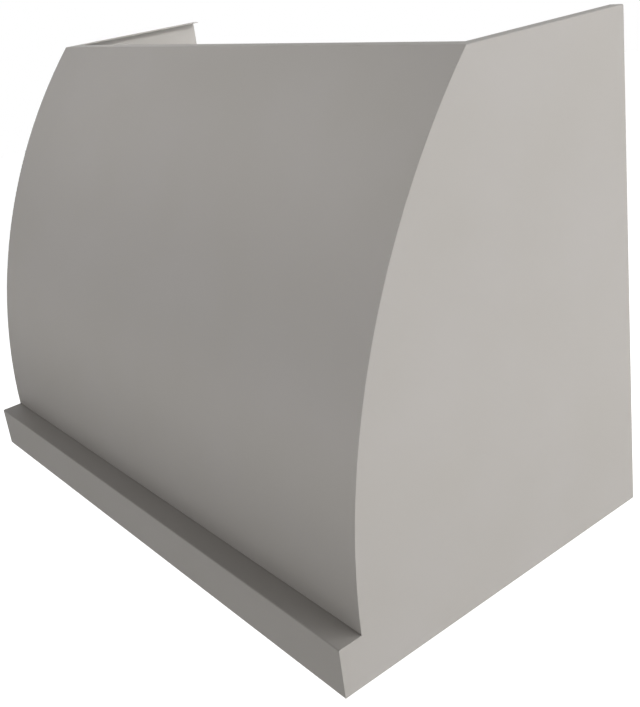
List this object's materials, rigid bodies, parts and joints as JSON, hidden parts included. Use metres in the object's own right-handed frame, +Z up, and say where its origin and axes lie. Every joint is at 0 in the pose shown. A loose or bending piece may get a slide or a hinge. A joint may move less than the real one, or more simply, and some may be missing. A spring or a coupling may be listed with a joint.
{
  "type": "wall-mounted range hood",
  "caption": "Painted wall range hood with a curved front, open top and back, swing-down baffle filters, a centrifugal blower and a round duct collar with a backdraft damper.",
  "frame": {"origin": "on the wall plane, on the hood's centre line, level with its bottom edge", "axes": "+X to the right as seen from the front, +Y to the wall, +Z up"},
  "size_m": [1.0668, 0.6096, 0.762],
  "materials": {
    "shell_paint": "matt powder coat, warm grey",
    "stainless": "brushed stainless sheet",
    "galvanised": "galvanised sheet, fine spangle",
    "zinc": "zinc plated",
    "black_enamel": "satin black enamel",
    "black_plastic": "fine-grained black",
    "white_plastic": "plain off-white",
    "sink": "black anodised",
    "lens": "frosted",
    "cable": "smooth black sheath"
  },
  "bodies": {
    "hood": {"side_panel_left": "shell_paint", "side_panel_right": "shell_paint", "front_panel": "shell_paint", "apron": "shell_paint", "rear_rail": "shell_paint", "hanging_rail": "galvanised", "plenum_front": "galvanised", "plenum_back": "galvanised", "plenum_left": "galvanised", "plenum_right": "galvanised", "plenum_top": "galvanised", "scroll_wrapper": "galvanised", "scroll_side_left": "galvanised", "scroll_side_right": "galvanised", "outlet_box": "galvanised", "outlet_plate": "galvanised", "duct_collar": "galvanised", "control_cover": "galvanised", "junction_box": "galvanised", "junction_cover": "galvanised", "liner_skirt": "stainless", "filter_deck": "stainless", "hinge_brackets": "stainless", "hinge_rod": "stainless", "lamp_bezels": "stainless", "wall_cleat": "zinc", "liner_screws": "zinc", "sheet_screws": "zinc", "damper_rod": "zinc", "cable_clamp": "zinc", "motor": "black_enamel", "motor_bracket": "black_enamel", "magnet_catches": "black_plastic", "control_plate": "black_plastic", "fan_switch": "black_plastic", "light_dimmer": "black_plastic", "capacitor": "white_plastic", "led_driver": "white_plastic", "lamp_housings": "sink", "lamp_lenses": "lens", "control_cable": "cable", "motor_cable": "cable", "lamp_cables": "cable"},
    "rotor": {"impeller_disc": "galvanised", "impeller_rings": "galvanised", "impeller_blades": "galvanised", "fan_shaft": "zinc"},
    "damper_left": {"damper_flap_left": "stainless"},
    "damper_right": {"damper_flap_right": "stainless"},
    "fan_control": {"fan_knob": "black_plastic", "fan_knob_stem": "zinc"},
    "light_control": {"light_knob": "black_plastic", "light_knob_stem": "zinc"},
    "filter_left": {"filter_frame_left": "stainless", "filter_baffles_left": "stainless"},
    "filter_middle": {"filter_frame_middle": "stainless", "filter_baffles_middle": "stainless"},
    "filter_right": {"filter_frame_right": "stainless", "filter_baffles_right": "stainless"}
  },
  "joints": [
    {"name": "filter_left_swing", "type": "hinge", "parent": "hood", "child": "filter_left", "pos_m": [-0.32973, -0.0513, 0.04175], "axis": [1, 0, 0], "range_deg": [0, 90]},
    {"name": "filter_middle_swing", "type": "hinge", "parent": "hood", "child": "filter_middle", "pos_m": [0, -0.0513, 0.04175], "axis": [1, 0, 0], "range_deg": [0, 90]},
    {"name": "filter_right_swing", "type": "hinge", "parent": "hood", "child": "filter_right", "pos_m": [0.32973, -0.0513, 0.04175], "axis": [1, 0, 0], "range_deg": [0, 90]},
    {"name": "rotor_spin", "type": "hinge", "parent": "hood", "child": "rotor", "pos_m": [0, -0.232, 0.22], "axis": [1, 0, 0], "continuous": true},
    {"name": "damper_left_swing", "type": "hinge", "parent": "hood", "child": "damper_left", "pos_m": [0, -0.16, 0.4072], "axis": [0, 1, 0], "range_deg": [0, 80]},
    {"name": "damper_right_swing", "type": "hinge", "parent": "hood", "child": "damper_right", "pos_m": [0, -0.16, 0.4072], "axis": [0, -1, 0], "range_deg": [0, 80]},
    {"name": "fan_knob_turn", "type": "hinge", "parent": "hood", "child": "fan_control", "pos_m": [0.04, -0.5228, 0.035], "axis": [0, 0, 1], "range_deg": [0, 135]},
    {"name": "light_knob_turn", "type": "hinge", "parent": "hood", "child": "light_control", "pos_m": [-0.04, -0.5228, 0.035], "axis": [0, 0, 1], "range_deg": [0, 270]}
  ]
}
